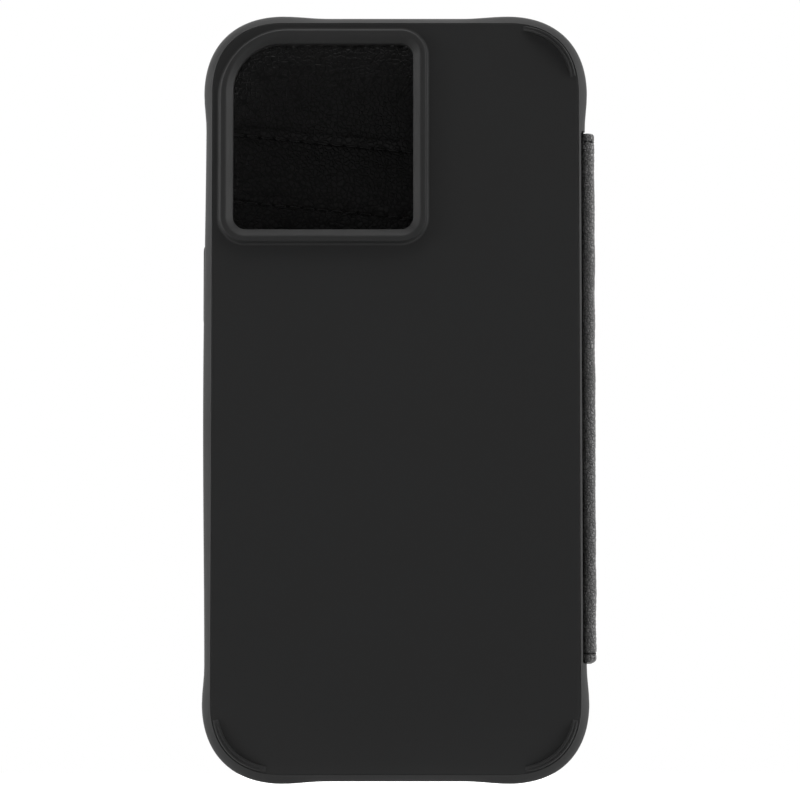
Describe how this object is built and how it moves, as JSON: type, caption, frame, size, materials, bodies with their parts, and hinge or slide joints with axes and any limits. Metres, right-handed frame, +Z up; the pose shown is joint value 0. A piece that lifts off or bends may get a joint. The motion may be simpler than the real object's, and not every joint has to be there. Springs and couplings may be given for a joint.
{
  "type": "phone wallet case",
  "caption": "Folio phone case: moulded shell with a camera window, leather spine and a folding leather cover with card pockets inside.",
  "frame": {"origin": "on the surface that the closed case stands on, under the middle of its box", "axes": "+Z up the height of the case, +Y from the shell's back towards the front cover, +X towards the spine"},
  "size_m": [0.085, 0.0184, 0.1664],
  "materials": {
    "soft_touch_bumper": "matte soft-touch moulding",
    "back_plastic": "fine matte texture",
    "microfibre": "short brushed nap",
    "pebbled_leather": "pebbled grain, semi-matte",
    "thread": "twisted polyester thread",
    "stiffener_board": "pressed fibre board",
    "magnet_steel": "nickel plated"
  },
  "bodies": {
    "cover": {"cover_leather": "pebbled_leather", "cover_board": "stiffener_board", "cover_lining": "microfibre", "bill_pocket": "pebbled_leather", "card_pocket_1": "pebbled_leather", "card_pocket_2": "pebbled_leather", "card_pocket_3": "pebbled_leather", "cover_magnets": "magnet_steel", "cover_stitching": "thread", "pocket_stitching_1": "thread", "pocket_stitching_2": "thread", "pocket_stitching_3": "thread"},
    "spine": {"spine_leather": "pebbled_leather", "spine_stiffener": "stiffener_board", "spine_lining": "microfibre", "spine_stitching": "thread"},
    "shell": {"bumper_frame": "soft_touch_bumper", "back_panel": "back_plastic", "camera_guard": "soft_touch_bumper", "back_lining": "microfibre", "shell_magnets": "magnet_steel", "spine_anchor_strip": "stiffener_board", "spine_anchor_leather": "pebbled_leather", "anchor_stitching": "thread"},
    "side_key": {"side_button": "soft_touch_bumper"},
    "volume_up_key": {"volume_up_button": "soft_touch_bumper"},
    "volume_down_key": {"volume_down_button": "soft_touch_bumper"}
  },
  "joints": [
    {"name": "cover_fold", "type": "hinge", "parent": "cover", "child": "spine", "pos_m": [0.04147, 0.0082, 0.0832], "axis": [0, 0, 1], "range_deg": [0, 90]},
    {"name": "shell_fold", "type": "hinge", "parent": "spine", "child": "shell", "pos_m": [0.04247, -0.00365, 0.0832], "axis": [0, 0, 1], "range_deg": [0, 90]},
    {"name": "side_key_press", "type": "slide", "parent": "shell", "child": "side_key", "axis": [1, 0, 0], "range_m": [0, 0.0004], "stiffness_N_per_m": 1500},
    {"name": "volume_up_press", "type": "slide", "parent": "shell", "child": "volume_up_key", "axis": [-1, 0, 0], "range_m": [0, 0.0004], "stiffness_N_per_m": 1500},
    {"name": "volume_down_press", "type": "slide", "parent": "shell", "child": "volume_down_key", "axis": [-1, 0, 0], "range_m": [0, 0.0004], "stiffness_N_per_m": 1500}
  ]
}
